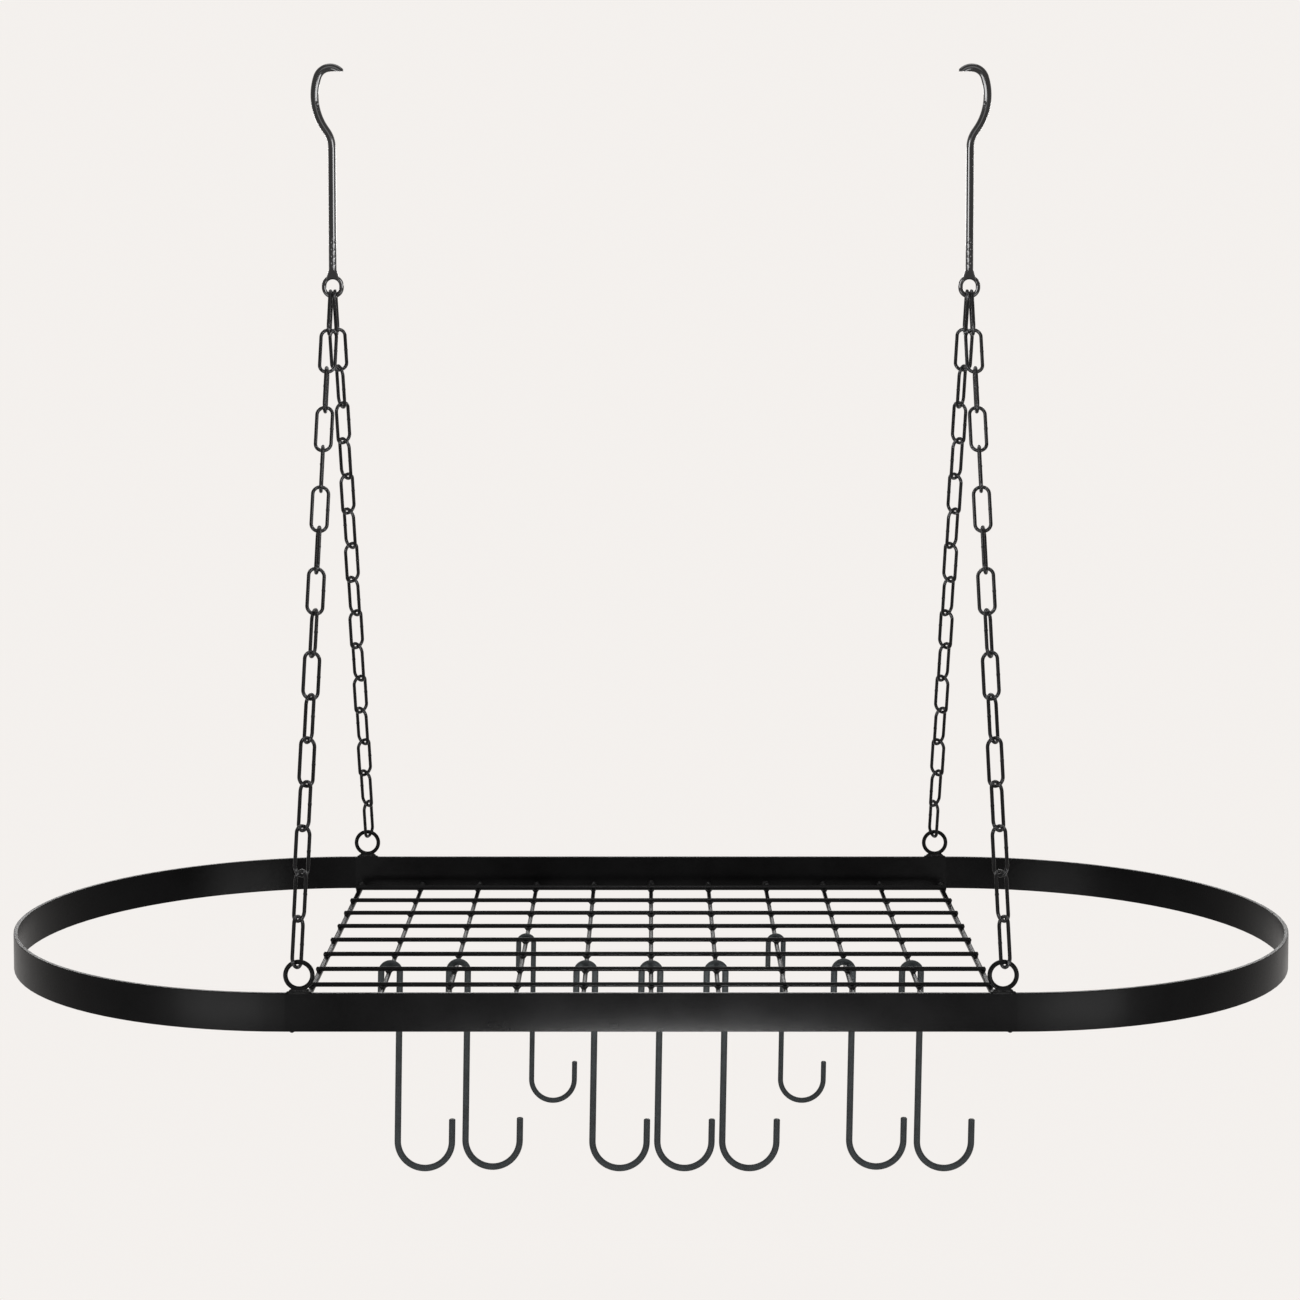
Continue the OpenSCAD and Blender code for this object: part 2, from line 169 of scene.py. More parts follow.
class PotRackStage(bpy.types.PropertyGroup):
    """Camera, floor and light."""

    camera_distance: FloatProperty(
        name="Distance", description="From the camera to the middle of the rack, along the floor",
        subtype="DISTANCE", unit="LENGTH", default=2.0005)
    camera_height: FloatProperty(
        name="Height", description="Height of the camera above the band's top edge",
        subtype="DISTANCE", unit="LENGTH", default=0.452)
    camera_pitch: FloatProperty(
        name="Pitch", description="How far the camera looks down",
        subtype="ANGLE", unit="ROTATION", default=math.radians(3.314))
    focal_length: FloatProperty(
        name="Focal length", description="Focal length on a 36 mm wide sensor, in millimetres",
        subtype="DISTANCE_CAMERA", unit="CAMERA", default=77.18)
    shift: FloatVectorProperty(
        name="Shift", description="Sideways and upward shift of the lens", size=2,
        default=(-0.0008, -0.15))
    floor_drop: FloatProperty(
        name="Floor", description="From the lowest hook down to the floor",
        subtype="DISTANCE", unit="LENGTH", default=0.45)
    backdrop: FloatVectorProperty(
        name="Backdrop", description="Colour of the floor and the backdrop",
        subtype="COLOR", size=3, min=0, max=1, default=(0.905, 0.875, 0.85))
    ambient: FloatProperty(
        name="Ambient", description="Light from all round, as a share of the plain level",
        min=0, max=1, default=0.5)


# ---- materials ---------------------------------------------------------------------------------

# The noise values between which a finish's colour changes, and its roughness
COLOUR_NOISE = (0.35, 0.65)
ROUGH_NOISE = (0.3, 0.7)

# The colour sockets of a Mix node, which has further sockets of the same names for other types
MIX_FIRST, MIX_SECOND, MIX_RESULT = 6, 7, 2

# Depths of the powder coat's orange peel and of its grain
PEEL_DEPTH = 0.03 * MM
GRAIN_DEPTH = 0.012 * MM


def add_node(tree, kind, inputs=None, **settings):
    """Adds a shader node, with its settings and the values of its unlinked inputs."""
    made = tree.nodes.new(kind)
    for key, value in settings.items():
        setattr(made, key, value)
    for key, value in (inputs or {}).items():
        made.inputs[key].default_value = value
    return made


def new_finish(name, rough, specular, coat=0.0, coat_rough=0.1):
    """A material with its constants set on the shader, and the object's own coordinates."""
    material = bpy.data.materials.new(name)
    material.use_nodes = True
    tree = material.node_tree
    shader = tree.nodes["Principled BSDF"]
    shader.inputs["Roughness"].default_value = rough
    shader.inputs["Specular IOR Level"].default_value = specular
    shader.inputs["Coat Weight"].default_value = coat
    shader.inputs["Coat Roughness"].default_value = coat_rough
    place = add_node(tree, "ShaderNodeTexCoord").outputs["Object"]
    return material, tree, shader, place


def grain(tree, place, size, detail=2.0, rough=0.5):
    """Noise whose features are about one size wide, in metres."""
    made = add_node(tree, "ShaderNodeTexNoise",
                    {"Scale": 1 / size, "Detail": detail, "Roughness": rough})
    tree.links.new(place, made.inputs["Vector"])
    return made.outputs["Fac"]


def spread(tree, value, low, high, to_low, to_high, smooth=False):
    """Maps a value from one range to another, and holds it there."""
    made = add_node(tree, "ShaderNodeMapRange",
                    {"From Min": low, "From Max": high, "To Min": to_low, "To Max": to_high},
                    interpolation_type="SMOOTHSTEP" if smooth else "LINEAR")
    tree.links.new(value, made.inputs["Value"])
    return made.outputs["Result"]


def combine(tree, operation, first, second=0.0):
    """One step of arithmetic on one or two values or sockets."""
    made = add_node(tree, "ShaderNodeMath", operation=operation)
    for socket, value in zip(made.inputs, (first, second)):
        if isinstance(value, (int, float)):
            socket.default_value = value
        else:
            tree.links.new(value, socket)
    return made.outputs["Value"]


def blend_colours(tree, share, first, second):
    """Colour between two colours, or a colour and a socket."""
    made = add_node(tree, "ShaderNodeMix", data_type="RGBA")
    tree.links.new(share, made.inputs["Factor"])
    for socket, value in ((made.inputs[MIX_FIRST], first), (made.inputs[MIX_SECOND], second)):
        if isinstance(value, bpy.types.NodeSocket):
            tree.links.new(value, socket)
        else:
            socket.default_value = (*value, 1)
    return made.outputs[MIX_RESULT]


def blend_shaders(tree, share, first, second, output):
    """One shader's socket where the share is 0 and another's where it is 1, on a new output."""
    mix = add_node(tree, "ShaderNodeMixShader")
    tree.links.new(share, mix.inputs["Fac"])
    tree.links.new(first, mix.inputs[1])
    tree.links.new(second, mix.inputs[2])
    tree.links.new(mix.outputs["Shader"], add_node(tree, output).inputs["Surface"])


def tinted(colour, factor):
    """A colour made lighter or darker."""
    return tuple(channel * factor for channel in colour)


def mottled(tree, pattern, colour, dark, light):
    """A colour that a pattern shifts between a dark and a light factor."""
    share = spread(tree, pattern, *COLOUR_NOISE, 0, 1)
    return blend_colours(tree, share, tinted(colour, dark), tinted(colour, light))


def uneven(tree, pattern, low, high):
    """A roughness that follows a pattern from low to high."""
    return spread(tree, pattern, *ROUGH_NOISE, low, high)


def split_place(tree, place):
    """The X, Y and Z sockets of a place."""
    made = add_node(tree, "ShaderNodeSeparateXYZ")
    tree.links.new(place, made.inputs["Vector"])
    return made.outputs


def link_finish(tree, shader, colour, rough, heights):
    """Gives a shader its colour, its roughness and its bumps, one over another, from (height
    socket, depth in metres) pairs."""
    tree.links.new(colour, shader.inputs["Base Color"])
    tree.links.new(rough, shader.inputs["Roughness"])
    below = None
    for height, depth in heights:
        made = add_node(tree, "ShaderNodeBump", {"Strength": 1.0, "Distance": depth})
        tree.links.new(height, made.inputs["Height"])
        if below:
            tree.links.new(below, made.inputs["Normal"])
        below = made.outputs["Normal"]
    tree.links.new(below, shader.inputs["Normal"])


def worn_edges(tree, place, height, edges, colour, bare):
    """A colour that is chipped through to a bare one near the heights of two edges."""
    chip_size, edge_width = 2.5 * MM, 0.6 * MM
    chip_noise, most_chipped = (0.58, 0.7), 0.3
    pattern = grain(tree, place, chip_size, detail=3, rough=0.7)
    chips = spread(tree, pattern, *chip_noise, 0, most_chipped)
    for edge in edges:
        away = combine(tree, "ABSOLUTE", combine(tree, "SUBTRACT", height, edge))
        near = spread(tree, away, 0, edge_width, 1, 0, smooth=True)
        colour = blend_colours(tree, combine(tree, "MULTIPLY", chips, near), colour, bare)
    return colour


def outer_crown(tree, place, height, edges):
    """Height of a rolled crown, from 0 halfway between two edges down to -1 at them, on the faces
    that look away from the object's middle."""
    blend = 10 * MM
    bottom, top = edges
    facing = add_node(tree, "ShaderNodeVectorMath", operation="DOT_PRODUCT")
    tree.links.new(place, facing.inputs[0])
    tree.links.new(add_node(tree, "ShaderNodeTexCoord").outputs["Normal"], facing.inputs[1])
    outer = spread(tree, facing.outputs["Value"], -blend, blend, 0, 1)
    across = combine(tree, "SUBTRACT", height, (bottom + top) / 2)
    bulge = combine(tree, "MULTIPLY", combine(tree, "MULTIPLY", across, across), outer)
    return combine(tree, "DIVIDE", bulge, -((top - bottom) / 2) ** 2)


def satin_coat(name, finish, edges=()):
    """Satin black powder coat: orange peel, a fine grain, rubbed patches and, between two edges
    at the given heights, an outer face with a rolled crown and edges where the coat is worn."""
    material, tree, shader, place = new_finish(name, rough=0.3, specular=0.045)
    patches = grain(tree, place, 55 * MM, detail=4, rough=0.6)
    peel = grain(tree, place, finish.peel_size)
    fine = grain(tree, place, finish.grain_size, detail=1)
    colour = mottled(tree, patches, finish.satin_black, dark=0.75, light=1.4)
    rough = combine(tree, "ADD", uneven(tree, patches, 0.25, 0.33),
                    uneven(tree, fine, -0.04, 0.05))
    heights = [(peel, PEEL_DEPTH), (fine, GRAIN_DEPTH)]
    if edges:
        height = split_place(tree, place)["Z"]
        colour = worn_edges(tree, place, height, edges, colour, finish.bare_steel_and_glint)
        heights.insert(0, (outer_crown(tree, place, height, edges), finish.crown))
    link_finish(tree, shader, colour, rough, heights)
    return material


def weld_coat(name, finish):
    """The same coat over weld metal, which is rippled and a little glossier."""
    material, tree, shader, place = new_finish(name, rough=0.3, specular=0.09)
    ripple = grain(tree, place, 1.1 * MM, detail=3, rough=0.6)
    fine = grain(tree, place, finish.grain_size, detail=1)
    colour = mottled(tree, ripple, finish.satin_black, dark=0.7, light=1.6)
    link_finish(tree, shader, colour, uneven(tree, ripple, 0.24, 0.42),
                [(ripple, 0.12 * MM), (fine, GRAIN_DEPTH)])
    return material


def rubbed_joints_and_painted_glints(tree, place, links):
    """Share of a chain's lacquer painted as bare steel in flecks where each link bears on the
    next: rubbed wear and a painted highlight of the joints' glints.
    """
    fleck_size, fleck_noise, most_rubbed_and_glint = 1.2 * MM, (0.5, 0.62), 0.35
    joint_edge = (0.04, 0.085)  # in pitches from a joint
    first, last = links[0]["centre"], links[-1]["centre"]
    pitch = (last - first).length / (len(links) - 1)
    down = (last - first).normalized()
    along = add_node(tree, "ShaderNodeVectorMath", {1: down}, operation="DOT_PRODUCT")
    tree.links.new(place, along.inputs[0])
    from_first = combine(tree, "SUBTRACT", along.outputs["Value"], down.dot(first))
    turn = combine(tree, "FRACT", combine(tree, "DIVIDE", from_first, pitch))
    from_joint = combine(tree, "ABSOLUTE", combine(tree, "SUBTRACT", turn, 0.5))
    bearing = spread(tree, from_joint, *joint_edge, 1, 0, smooth=True)
    pattern = grain(tree, place, fleck_size, detail=3, rough=0.7)
    flecks = spread(tree, pattern, *fleck_noise, 0, most_rubbed_and_glint)
    return combine(tree, "MULTIPLY", bearing, flecks)


def chain_lacquer(name, finish, links):
    """Black lacquer that is smoother where each link bears on the next, and painted lighter there:
    rubbed wear and a painted highlight.
    """
    smoothing = 0.1
    material, tree, shader, place = new_finish(name, rough=0.25, specular=0.1)
    patches = grain(tree, place, 14 * MM, detail=4, rough=0.6)
    fine = grain(tree, place, finish.grain_size)
    # Flecks at the joints: rubbed wear and a painted highlight of the joints' glints
    rubbed = rubbed_joints_and_painted_glints(tree, place, links)
    colour = mottled(tree, patches, finish.chain_black, dark=0.7, light=1.7)
    # Painted highlight and wear: the flecks turn the lacquer to the bare steel colour
    colour = blend_colours(tree, rubbed, colour, finish.bare_steel_and_glint)
    rough = combine(tree, "SUBTRACT", uneven(tree, patches, 0.22, 0.38),
                    combine(tree, "MULTIPLY", rubbed, smoothing))
    link_finish(tree, shader, colour, rough, [(patches, 0.08 * MM), (fine, 0.01 * MM)])
    return material


def tool_marks(tree, place):
    """Ripples down the front of a ceiling hook's rod, in a zone just above its eye."""
    pitch = 5 * MM
    zone_start, zone_end = (20 * MM, 22 * MM), (42 * MM, 46 * MM)  # heights above the eye
    front_edge = (-2.2 * MM, -1.6 * MM)
    place = split_place(tree, place)
    above = combine(tree, "SUBTRACT", place["Z"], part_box("ceiling_hook_left")[0].z)
    marks = combine(tree, "SINE", combine(tree, "MULTIPLY", above, 2 * math.pi / pitch))
    zone = combine(tree, "MULTIPLY", spread(tree, above, *zone_start, 0, 1),
                   spread(tree, above, *zone_end, 1, 0))
    front = spread(tree, place["Y"], *front_edge, 1, 0)
    return combine(tree, "MULTIPLY", marks, combine(tree, "MULTIPLY", zone, front))


def gloss_enamel(name, finish):
    """Deep black enamel with slow runs along the rod, and the tool's marks just above the eye."""
    stretch = 0.15
    material, tree, shader, place = new_finish(
        name, rough=0.14, specular=0.3, coat=0.15, coat_rough=0.05)
    runs = add_node(tree, "ShaderNodeMapping", {"Scale": (1, 1, stretch)})
    tree.links.new(place, runs.inputs["Vector"])
    flow = grain(tree, runs.outputs["Vector"], 3 * MM)
    broad = grain(tree, place, 20 * MM, detail=3)
    colour = mottled(tree, broad, finish.gloss_black, dark=0.8, light=1.4)
    link_finish(tree, shader, colour, uneven(tree, broad, 0.1, 0.17),
                [(flow, 0.02 * MM), (tool_marks(tree, place), 0.16 * MM)])
    return material


def dull_paint(name, finish):
    """Charcoal paint with a dry, slightly mottled surface."""
    material, tree, shader, place = new_finish(name, rough=0.55, specular=0.12)
    mottle = grain(tree, place, 7 * MM, detail=5, rough=0.65)
    fine = grain(tree, place, 0.5 * MM)
    colour = mottled(tree, mottle, finish.charcoal, dark=0.78, light=1.25)
    link_finish(tree, shader, colour, uneven(tree, mottle, 0.5, 0.66),
                [(mottle, 0.12 * MM), (fine, 0.03 * MM)])
    return material


def dress(names, material):
    """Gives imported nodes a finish."""
    for name in names:
        node = NODES[name]
        if not node.material_slots:
            node.data.materials.append(material)
        for slot in node.material_slots:
            slot.material = material


def finish_named(name, maker, *details):
    """The finish with that name, made the first time that it is asked for."""
    finish = bpy.context.scene.pot_rack_finish
    return bpy.data.materials.get(name) or maker(name, finish, *details)


# ---- welds -------------------------------------------------------------------------------------

# Segments round and down the spheres that lumps and saddles are shaped from
LUMP_GRID = (16, 10)
SADDLE_GRID = (24, 8)

# How far apart in noise space two lumps can be, and how much of it one lump's radius spans
NOISE_REACH = 50
LUMP_WAVES = 1.7

# Range of the factors by which shelf welds differ in reach and in how hollow they are
REACH_RANGE = (0.88, 1.12)
CURVE_RANGE = (0.95, 1.05)

# The dab of weld at a wire's cut end: its radii, its unevenness, and its middle's distance in from
# the end and down from the wire's middle
DAB_RADII = (1.4 * MM, 1.75 * MM, 1.75 * MM)
DAB_LUMPINESS = 0.2
DAB_INSET = 0.6 * MM
DAB_DROP = 0.3 * MM

# Points of a packed chain that are nearer each other than this are one point
SAME_POINT = 0.001 * MM


def make_piece(name, bm, body, material):
    """Turns a finished bmesh into a smooth piece that rides on a body."""
    if not bm.faces:
        raise RuntimeError(f"{name} has no faces")
    mesh = bpy.data.meshes.new(name)
    bm.to_mesh(mesh)
    bm.free()
    mesh.shade_smooth()
    mesh.materials.append(material)
    piece = bpy.data.objects.new(name, mesh)
    bpy.context.scene.collection.objects.link(piece)
    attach(piece, body)


def make_rack_weld(name, bm):
    """Turns a finished bmesh into coated welds that ride on the rack."""
    make_piece(name, bm, "rack", finish_named("weld_coat", weld_coat))


def middle_of(name):
    """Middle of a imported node's box."""
    low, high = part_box(name)
    return (low + high) / 2


def held(value, low, high):
    """A value kept between two others."""
    return max(low, min(high, value))


def add_ball(bm, grid):
    """Vertices of a new sphere of radius 1, with that many segments round and down."""
    return bmesh.ops.create_uvsphere(bm, u_segments=grid[0], v_segments=grid[1], radius=1)["verts"]


def add_lump(bm, centre, radii, lumpiness, rng, turn=Matrix.Identity(3)):
    """A rounded lump of weld metal with an uneven surface."""
    verts = add_ball(bm, LUMP_GRID)
    seed = Vector([rng.uniform(0, NOISE_REACH) for axis in "xyz"])
    for vert in verts:
        swell = 1 + lumpiness * noise.noise(vert.co * LUMP_WAVES + seed)
        vert.co = Vector(c * r * swell for c, r in zip(vert.co, radii))
    place = Matrix.Translation(centre) @ turn.to_4x4()
    bmesh.ops.transform(bm, matrix=place, verts=verts)


def add_saddle(bm, lower, upper, welds, rng):
    """The weld where an upper wire crosses a lower one: four arms that run out along the wires,
    as far as these go, hollow corners between them, and a dab over the upper wire's end if that
    is near."""
    low_middle, high_middle = middle_of(lower), middle_of(upper)
    x, y = low_middle.x, high_middle.y
    middle, half = (low_middle.z + high_middle.z) / 2, (high_middle.z - low_middle.z) / 2
    left, right = (corner.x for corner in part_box(upper))
    reach = welds.saddle_reach * rng.uniform(*REACH_RANGE)
    power = welds.saddle_curve * rng.uniform(*CURVE_RANGE)
    for vert in add_ball(bm, SADDLE_GRID):
        out = math.hypot(vert.co.x, vert.co.y)
        angle = math.atan2(vert.co.y, vert.co.x)
        across, along = math.cos(angle), math.sin(angle)
        star = reach / (abs(across) ** power + abs(along) ** power) ** (1 / power)
        climb = (across ** 2 - along ** 2) * half * out
        vert.co = Vector((
            held(x + across * star * out, left - welds.end_lip, right + welds.end_lip),
            y + along * star * out,
            middle + climb + vert.co.z * welds.saddle_depth))
    for end, inward in ((left, 1), (right, -1)):
        if abs(end - x) < reach:
            centre = Vector((end + inward * DAB_INSET, y, high_middle.z - DAB_DROP))
            add_lump(bm, centre, DAB_RADII, DAB_LUMPINESS, rng)


def islands(bm):
    """The separate shells of a bmesh, each as a list of vertices."""
    left = set(bm.verts)
    while left:
        shell, edge = [], [left.pop()]
        while edge:
            vert = edge.pop()
            shell.append(vert)
            for link in vert.link_edges:
                other = link.other_vert(vert)
                if other in left:
                    left.remove(other)
                    edge.append(other)
        yield shell


@functools.cache
def chain_links(name):
    """Centre, long direction, side direction, half width and wire radius of each link of a
    chain's node, from the top down."""
    bm = bmesh.new()
    bm.from_mesh(NODES[name].data)
    bmesh.ops.remove_doubles(bm, verts=bm.verts, dist=SAME_POINT)
    found = []
    for shell in islands(bm):
        points = np.array([vert.co for vert in shell])
        centre = (points.min(0) + points.max(0)) / 2
        axes = np.linalg.eigh(np.cov((points - centre).T))[1]
        reach = np.ptp((points - centre) @ axes, axis=0) / 2
        found.append({
            "centre": Vector(centre), "long": Vector(axes[:, 2]), "side": Vector(axes[:, 1]),
            "half_width": reach[1], "wire": reach[0]})
    bm.free()
    return sorted(found, key=lambda link: -link["centre"].z)


# ---- operators ---------------------------------------------------------------------------------


class POTRACK_OT_coat_rack(bpy.types.Operator):
    """Powder coat the band, the shelf's wires and rails, and the hanging rings"""

    bl_idname = "potrack.coat_rack"
    bl_label = "Coat Rack"

    def execute(self, context):
        low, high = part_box("oval_band")
        band = finish_named("satin_black_band", satin_coat, (low.z, high.z))
        wire = finish_named("satin_black_wire", satin_coat)
        dress(["oval_band"], band)
        dress([name for name in BODIES["rack"] if name != "oval_band"], wire)
        return {"FINISHED"}


class POTRACK_OT_lacquer_chains(bpy.types.Operator):
    """Lacquer the chains and their first links"""

    bl_idname = "potrack.lacquer_chains"
    bl_label = "Lacquer Chains"

    def execute(self, context):
        for corner in CORNERS:
            links = chain_links(f"chain_{corner}")
            lacquer = finish_named(f"chain_lacquer_{corner}", chain_lacquer, links)
            dress([f"chain_{corner}", f"top_link_{corner}"], lacquer)
        return {"FINISHED"}


class POTRACK_OT_enamel_ceiling_hooks(bpy.types.Operator):
    """Enamel the ceiling hooks, and leave a bead of enamel on the front of each hook's back"""

    bl_idname = "potrack.enamel_ceiling_hooks"
    bl_label = "Enamel Ceiling Hooks"

    bead_radii = (1.3 * MM, 0.9 * MM, 1.9 * MM)
    lumpiness = 0.1

    def execute(self, context):
        enamel = finish_named("gloss_black_enamel", gloss_enamel)
        dress(CEILING_HOOKS, enamel)
        finish = context.scene.pot_rack_finish
        rng = random.Random(finish.bead_seed)
        bm = bmesh.new()
        for name in CEILING_HOOKS:
            low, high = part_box(name)
            outward = -1 if low.x < 0 else 1
            back = low.x if outward < 0 else high.x
            centre = Vector((back - outward * finish.bead_inset, low.y + finish.bead_sink,
                             high.z - finish.bead_drop))
            add_lump(bm, centre, self.bead_radii, self.lumpiness, rng)
        make_piece("enamel_beads", bm, "ceiling_hooks", enamel)
        return {"FINISHED"}


class POTRACK_OT_paint_pot_hooks(bpy.types.Operator):
    """Paint the nine pot hooks"""

    bl_idname = "potrack.paint_pot_hooks"
    bl_label = "Paint Pot Hooks"

    def execute(self, context):
        dress(POT_HOOKS, finish_named("charcoal_paint", dull_paint))
        return {"FINISHED"}


class POTRACK_OT_weld_shelf(bpy.types.Operator):
    """Weld each shelf wire to the wires that it crosses"""

    bl_idname = "potrack.weld_shelf"
    bl_label = "Weld Shelf"

    def execute(self, context):
        welds = context.scene.pot_rack_welds
        rng = random.Random(welds.seed)
        bm = bmesh.new()
        for lower in (*DEPTH_WIRES, *SIDE_RAILS):
            for upper in (*CROSS_WIRES, *END_RAILS):
                add_saddle(bm, lower, upper, welds, rng)
        make_rack_weld("shelf_welds", bm)
        return {"FINISHED"}


class POTRACK_OT_weld_band(bpy.types.Operator):
    """Weld the shelf's front-to-back wires and its side rails to the band's inner face"""

    bl_idname = "potrack.weld_band"
    bl_label = "Weld Shelf to Band"

    seed_step = 1
    size_range = (0.9, 1.12)
    rise = 1.15             # of a lump's middle over the band's bottom edge, in its own radii
    flatness = 0.78         # of a lump's height, as a share of its width
    thickness = 1.5 * MM    # of a lump from the band inward
    lumpiness = 0.35

    def execute(self, context):
        welds = context.scene.pot_rack_welds
        rng = random.Random(welds.seed + self.seed_step)
        bm = bmesh.new()
        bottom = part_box("oval_band")[0].z
        for name in (*DEPTH_WIRES, *SIDE_RAILS):
            low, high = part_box(name)
            for y in (low.y, high.y):
                size = welds.bead_radius * rng.uniform(*self.size_range)
                centre = Vector(((low.x + high.x) / 2, y, bottom + self.rise * size))
                radii = (size, self.thickness, self.flatness * size)
                add_lump(bm, centre, radii, self.lumpiness, rng)
        make_rack_weld("band_welds", bm)
        return {"FINISHED"}


class POTRACK_OT_weld_rings(bpy.types.Operator):
    """Run a rippled weld bead under each hanging ring"""

    bl_idname = "potrack.weld_rings"
    bl_label = "Weld Rings"

    seed_step = 2
    ripples = 9
    full_share = 0.28       # the bead keeps its height up to this share of its length each way,
    taper = 3.2             # and then falls off this fast

    # The two rows of ripples beside a ring's foot. Heights are shares of the bead's height.
    row_offset = 0.45 * MM
    row_range = (0.9, 1.1)
    row_rise = 0.35
    row_height = 0.65
    row_thickness = 0.6
    row_lumpiness = 0.22

    # The row that sags over the band's outer face
    sag_offset = 1.3 * MM
    sag_range = (0.7, 1.0)
    sag_share = 0.8
    sag_thickness = 0.6 * MM
    sag_lumpiness = 0.25

    def execute(self, context):
        welds = context.scene.pot_rack_welds
        rng = random.Random(welds.seed + self.seed_step)
        bm = bmesh.new()
        for corner in CORNERS:
            middle = middle_of(f"hanging_ring_{corner}")
            for k in range(self.ripples):
                share = k / (self.ripples - 1) - 0.5
                self.add_rows(bm, middle, share, welds, rng)
                self.add_sag(bm, middle, share, welds, rng)
        make_rack_weld("ring_welds", bm)
        return {"FINISHED"}

    def add_rows(self, bm, middle, share, welds, rng):
        """One ripple on each side of a ring's foot."""
        fall = self.taper * max(0, abs(share) - self.full_share)
        height = welds.ring_bead_height * (1 - fall)
        for side in (-1, 1):
            size = welds.ring_bead * rng.uniform(*self.row_range)
            centre = Vector((middle.x + share * welds.ring_bead_length,
                             middle.y + side * self.row_offset,
                             BAND_TOP + self.row_rise * height))
            radii = (size, self.row_thickness * size, self.row_height * height)
            add_lump(bm, centre, radii, self.row_lumpiness, rng)

    def add_sag(self, bm, middle, share, welds, rng):
        """One lump of the row that sags over the band's outer face."""
        outer = middle.y + math.copysign(self.sag_offset, middle.y)
        sag = welds.ring_bead * rng.uniform(*self.sag_range) * (1 - abs(share))
        centre = Vector((middle.x + self.sag_share * share * welds.ring_bead_length, outer,
                         BAND_TOP))
        add_lump(bm, centre, (welds.ring_bead, self.sag_thickness, sag), self.sag_lumpiness, rng)


class POTRACK_OT_weld_links(bpy.types.Operator):
    """Close each chain link with its butt weld, on alternate sides down the chain"""

    bl_idname = "potrack.weld_links"
    bl_label = "Weld Links"

    seed_step = 3
    wander = MM             # of a seam up or down from its link's middle
    stretch = 1.5           # of a seam along its wire, in its own radii
    lumpiness = 0.08

    def execute(self, context):
        welds = context.scene.pot_rack_welds
        rng = random.Random(welds.seed + self.seed_step)
        for corner in CORNERS:
            chain = f"chain_{corner}"
            bm = bmesh.new()
            for k, link in enumerate(chain_links(chain)):
                across, down = link["side"], link["long"]
                side = across * (link["half_width"] - link["wire"]) * (-1) ** k
                turn = Matrix((across, down.cross(across), down)).transposed()
                size = link["wire"] + welds.seam_swell
                centre = link["centre"] + side + down * rng.uniform(-1, 1) * self.wander
                radii = (size, size, self.stretch * size)
                add_lump(bm, centre, radii, self.lumpiness, rng, turn)
            make_piece(f"link_seams_{corner}", bm, chain,
                       bpy.data.materials[f"chain_lacquer_{corner}"])
        return {"FINISHED"}


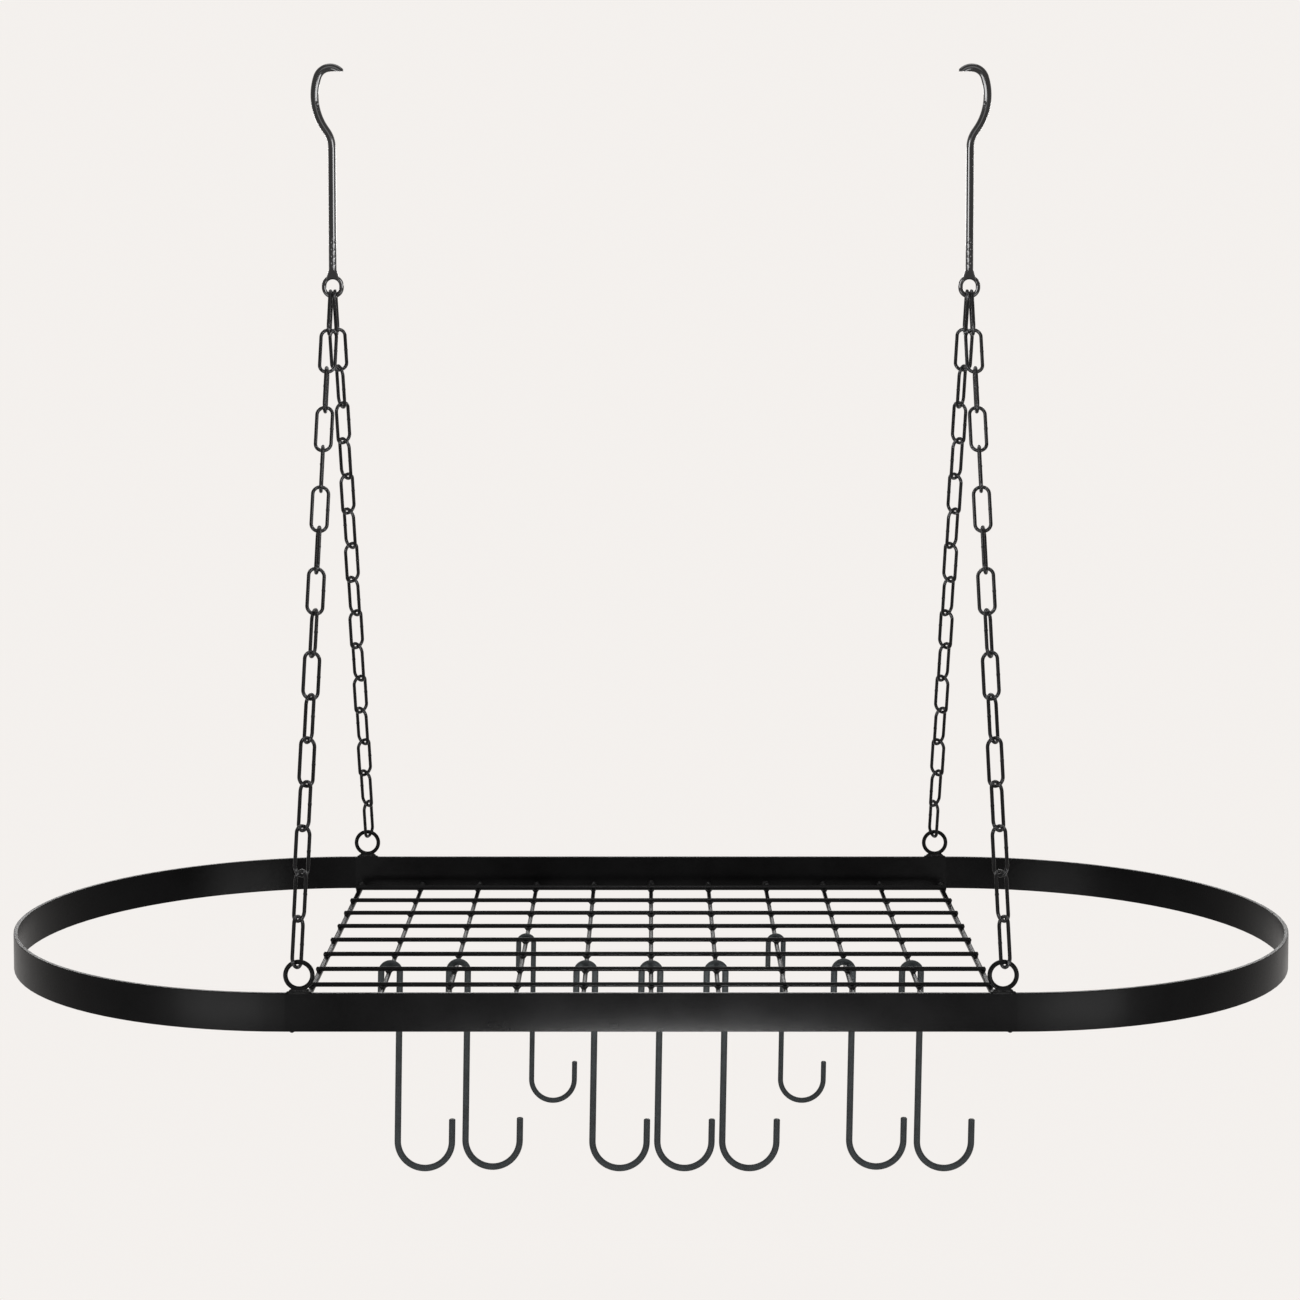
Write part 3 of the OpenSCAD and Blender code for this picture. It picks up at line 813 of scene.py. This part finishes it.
class POTRACK_OT_set_stage(bpy.types.Operator):
    """Set the floor, the light and the camera"""

    bl_idname = "potrack.set_stage"
    bl_label = "Set Stage"

    # Name, place, what it faces, width and height in metres, power in watts and, in degrees, the
    # beam. Heights are from the band's top edge.
    lamps = (
        ("front_softbox", (0.0, -2.4, 1.3), (0.0, 0.0, 0.2), (1.8, 1.0), 16.0, 180),
        ("top_softbox", (0.0, 0.2, 2.0), (0.0, 0.0, 0.0), (1.6, 0.8), 14.0, 180),
        ("left_softbox", (-1.02, -1.5, -0.33), (-0.27, -0.2, 0.0), (0.95, 0.55), 15.0, 180),
        ("right_softbox", (1.02, -1.5, -0.33), (0.27, -0.2, 0.0), (0.95, 0.55), 15.0, 180),
        ("low_box", (0.02, -0.76, -0.36), (0.02, -0.22, 0.04), (0.2, 0.09), 0.6, 32),
        ("back_strip", (0.0, 2.2, 0.62), (0.0, 0.0, 0.0), (2.2, 0.2), 9.0, 180),
        ("left_hook_strip", (-0.005, -0.21, 0.54), (-0.23, 0.0, 0.54), (0.19, 0.2), 2.4, 180),
        ("right_hook_strip", (0.005, -0.21, 0.54), (0.23, 0.0, 0.54), (0.19, 0.2), 2.4, 180),
    )
    floor_reach = 30
    floor_fade = (0.35, 1.1)    # distances between which the floor takes the backdrop's colour
    sensor_width = 36           # in millimetres
    white = (1, 1, 1, 1)

    def execute(self, context):
        stage = context.scene.pot_rack_stage
        self.add_floor(stage, cad_box[0].z - stage.floor_drop)
        self.add_world(context.scene, stage)
        for name, place, target, size, power, beam in self.lamps:
            self.add_lamp(name, Vector(place), Vector(target), size, power, math.radians(beam))
        self.add_camera(context.scene, stage)
        context.scene.view_settings.view_transform = "Standard"
        return {"FINISHED"}

    def add_floor(self, stage, height):
        """A plain floor at a height."""
        bm = bmesh.new()
        bmesh.ops.create_grid(bm, x_segments=1, y_segments=1, size=self.floor_reach)
        bmesh.ops.translate(bm, vec=(0, 0, height), verts=bm.verts)
        mesh = bpy.data.meshes.new("floor")
        bm.to_mesh(mesh)
        bm.free()
        floor = bpy.data.objects.new("floor", mesh)
        bpy.context.scene.collection.objects.link(floor)
        floor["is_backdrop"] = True
        mesh.materials.append(self.floor_paint(stage))

    def floor_paint(self, stage):
        """Pale paint that turns into the backdrop's own colour far from the rack."""
        material = bpy.data.materials.new("floor_paint")
        material.use_nodes = True
        tree = material.node_tree
        tree.nodes.clear()
        place = add_node(tree, "ShaderNodeTexCoord").outputs["Object"]
        flat = add_node(tree, "ShaderNodeVectorMath", {1: (1, 1, 0)}, operation="MULTIPLY")
        tree.links.new(place, flat.inputs[0])
        away = add_node(tree, "ShaderNodeVectorMath", operation="LENGTH")
        tree.links.new(flat.outputs["Vector"], away.inputs[0])
        far = spread(tree, away.outputs["Value"], *self.floor_fade, 0, 1, smooth=True)
        paint = add_node(tree, "ShaderNodeBsdfDiffuse", {"Color": (*stage.backdrop, 1)})
        glow = add_node(tree, "ShaderNodeEmission", {"Color": (*stage.backdrop, 1)})
        blend_shaders(tree, far, paint.outputs["BSDF"], glow.outputs["Emission"],
                      "ShaderNodeOutputMaterial")
        return material

    def add_world(self, scene, stage):
        """Ambient light, with the pale backdrop for what the camera sees and metal reflects."""
        world = bpy.data.worlds.new("studio")
        scene.world = world
        world.use_nodes = True
        tree = world.node_tree
        tree.nodes.clear()
        path = add_node(tree, "ShaderNodeLightPath").outputs
        seen = combine(tree, "MAXIMUM", path["Is Camera Ray"], path["Is Glossy Ray"])
        seen = combine(tree, "MAXIMUM", seen, path["Is Transmission Ray"])
        light = add_node(tree, "ShaderNodeBackground",
                         {"Color": self.white, "Strength": stage.ambient})
        backdrop = add_node(tree, "ShaderNodeBackground",
                            {"Color": (*stage.backdrop, 1), "Strength": 1})
        blend_shaders(tree, seen, light.outputs["Background"], backdrop.outputs["Background"],
                      "ShaderNodeOutputWorld")

    def add_lamp(self, name, place, target, size, power, beam):
        """A soft rectangular lamp that faces its target, and that the camera doesn't see."""
        light = bpy.data.lights.new(name, "AREA")
        light.shape = "RECTANGLE"
        light.size, light.size_y = size
        light.energy = power
        light.spread = beam
        lamp = bpy.data.objects.new(name, light)
        lamp.location = place + Vector((0, 0, BAND_TOP))
        lamp.rotation_euler = (target - place).to_track_quat("-Z", "Y").to_euler()
        lamp.visible_camera = False
        bpy.context.scene.collection.objects.link(lamp)

    def add_camera(self, scene, stage):
        """A camera in front of the rack, a little above it and looking slightly down."""
        data = bpy.data.cameras.new("camera")
        data.sensor_width = self.sensor_width
        data.lens = stage.focal_length
        data.shift_x, data.shift_y = stage.shift
        camera = bpy.data.objects.new("camera", data)
        camera.location = (0, -stage.camera_distance, BAND_TOP + stage.camera_height)
        camera.rotation_euler = (math.pi / 2 - stage.camera_pitch, 0, 0)
        scene.collection.objects.link(camera)
        scene.camera = camera


class POTRACK_PT_sidebar(bpy.types.Panel):
    """Steps and sizes of the pot rack"""

    bl_label = "Pot Rack"
    bl_idname = "POTRACK_PT_sidebar"
    bl_space_type = "VIEW_3D"
    bl_region_type = "UI"
    bl_category = "Pot Rack"

    def draw(self, context):
        for step in STEPS:
            self.layout.operator(step.bl_idname)
        for group in GROUPS:
            values = getattr(context.scene, group)
            box = self.layout.box()
            for name in values.__annotations__:
                box.prop(values, name)


GROUPS = {
    "pot_rack_finish": PotRackFinish,
    "pot_rack_welds": PotRackWelds,
    "pot_rack_stage": PotRackStage,
}
STEPS = (
    POTRACK_OT_coat_rack,
    POTRACK_OT_lacquer_chains,
    POTRACK_OT_enamel_ceiling_hooks,
    POTRACK_OT_paint_pot_hooks,
    POTRACK_OT_weld_shelf,
    POTRACK_OT_weld_band,
    POTRACK_OT_weld_rings,
    POTRACK_OT_weld_links,
    POTRACK_OT_set_stage,
)


def register():
    for kind in (*GROUPS.values(), *STEPS, POTRACK_PT_sidebar):
        bpy.utils.register_class(kind)
    for name, kind in GROUPS.items():
        setattr(bpy.types.Scene, name, PointerProperty(type=kind))


def unregister():
    for name in GROUPS:
        delattr(bpy.types.Scene, name)
    for kind in reversed((*GROUPS.values(), *STEPS, POTRACK_PT_sidebar)):
        bpy.utils.unregister_class(kind)


def main():
    register()
    bpy.ops.potrack.coat_rack()
    bpy.ops.potrack.lacquer_chains()
    bpy.ops.potrack.enamel_ceiling_hooks()
    bpy.ops.potrack.paint_pot_hooks()
    bpy.ops.potrack.weld_shelf()
    bpy.ops.potrack.weld_band()
    bpy.ops.potrack.weld_rings()
    bpy.ops.potrack.weld_links()
    bpy.ops.potrack.set_stage()
    boxes = {"cad": cad_box, "visual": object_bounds()}
    {name: [list(corner) for corner in box] for name, box in boxes.items()}


if __name__ == "__main__":
    main()
